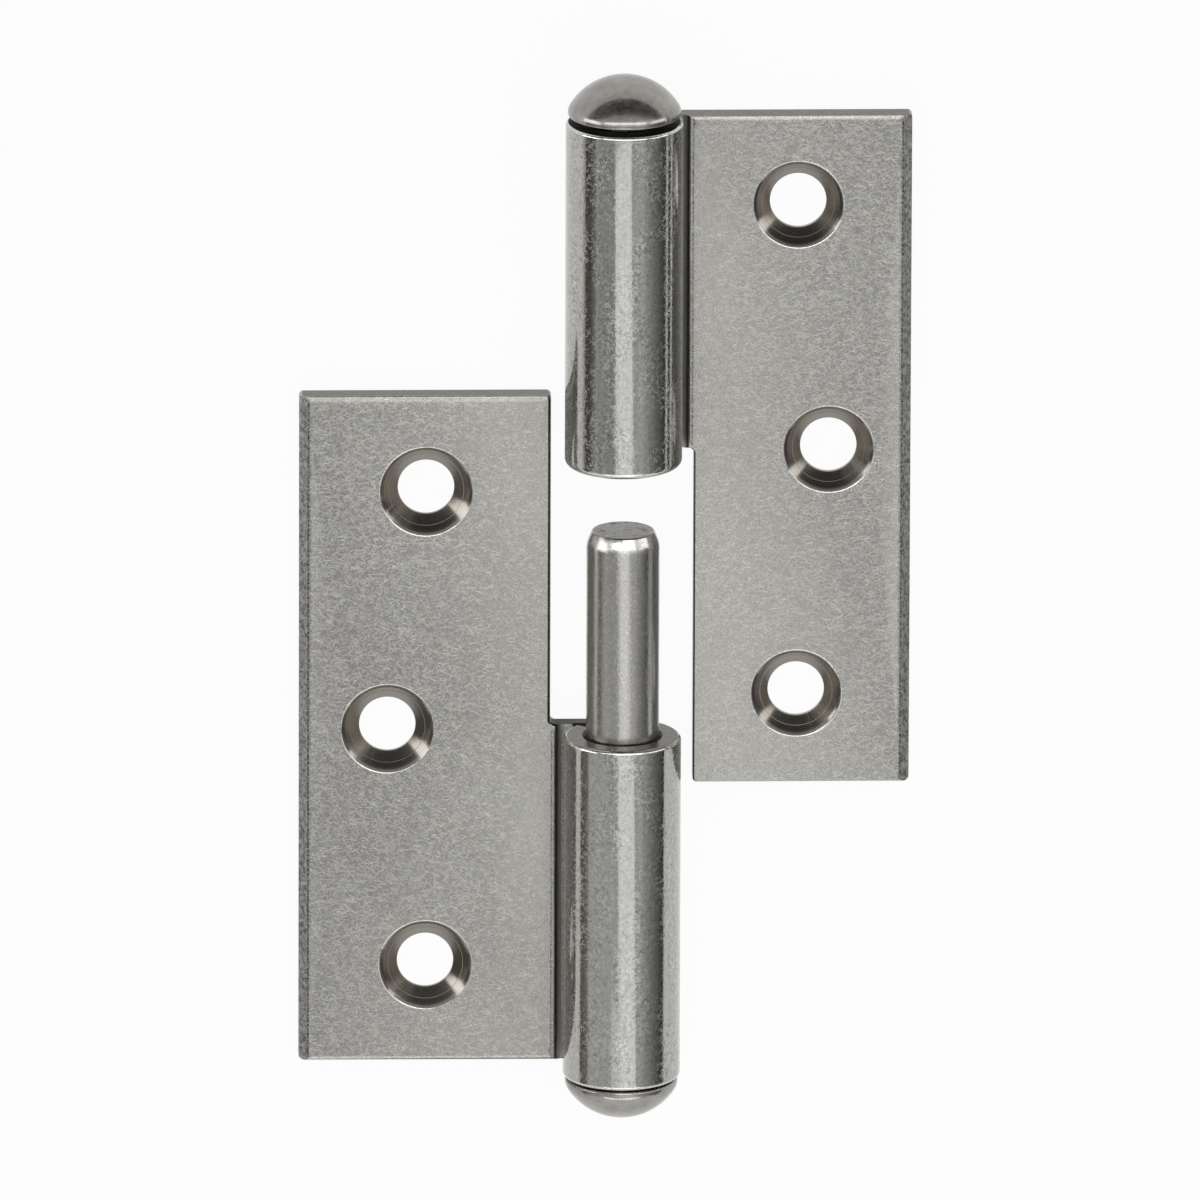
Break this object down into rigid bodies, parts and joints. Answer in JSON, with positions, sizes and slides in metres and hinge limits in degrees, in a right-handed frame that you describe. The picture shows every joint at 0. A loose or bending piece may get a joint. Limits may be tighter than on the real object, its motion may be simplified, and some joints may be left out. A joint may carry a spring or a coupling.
{
  "type": "lift-off hinge",
  "caption": "Stainless lift-off hinge with rolled knuckles: the upper half lifts off a fixed pin in the lower half, and countersunk screw holes fix the leaves.",
  "frame": {"origin": "on the back of the lower leaf, between its two outer screw holes", "axes": "+X from the lower leaf towards the hinge line, +Y up the hinge line in the way the upper half lifts off, +Z out of the leaves' countersunk faces"},
  "size_m": [0.0702, 0.1248, 0.0135],
  "materials": {
    "leaf": "tumbled, with fine random scratches",
    "pin": "drawn bright",
    "plug": "turned and tumbled smooth"
  },
  "bodies": {
    "lower_half": {"lower_leaf": "leaf", "hinge_pin": "pin"},
    "top_plug": {"top_plug": "plug"},
    "upper_half": {"upper_leaf": "leaf"}
  },
  "joints": [
    {"name": "lift_off", "type": "slide", "parent": "lower_half", "child": "top_plug", "axis": [0, 1, 0], "range_m": [-0.0324, 0.01]},
    {"name": "swing", "type": "hinge", "parent": "top_plug", "child": "upper_half", "pos_m": [0.0225, 0.033, 0.00675], "axis": [0, -1, 0], "range_deg": [0, 180]}
  ]
}
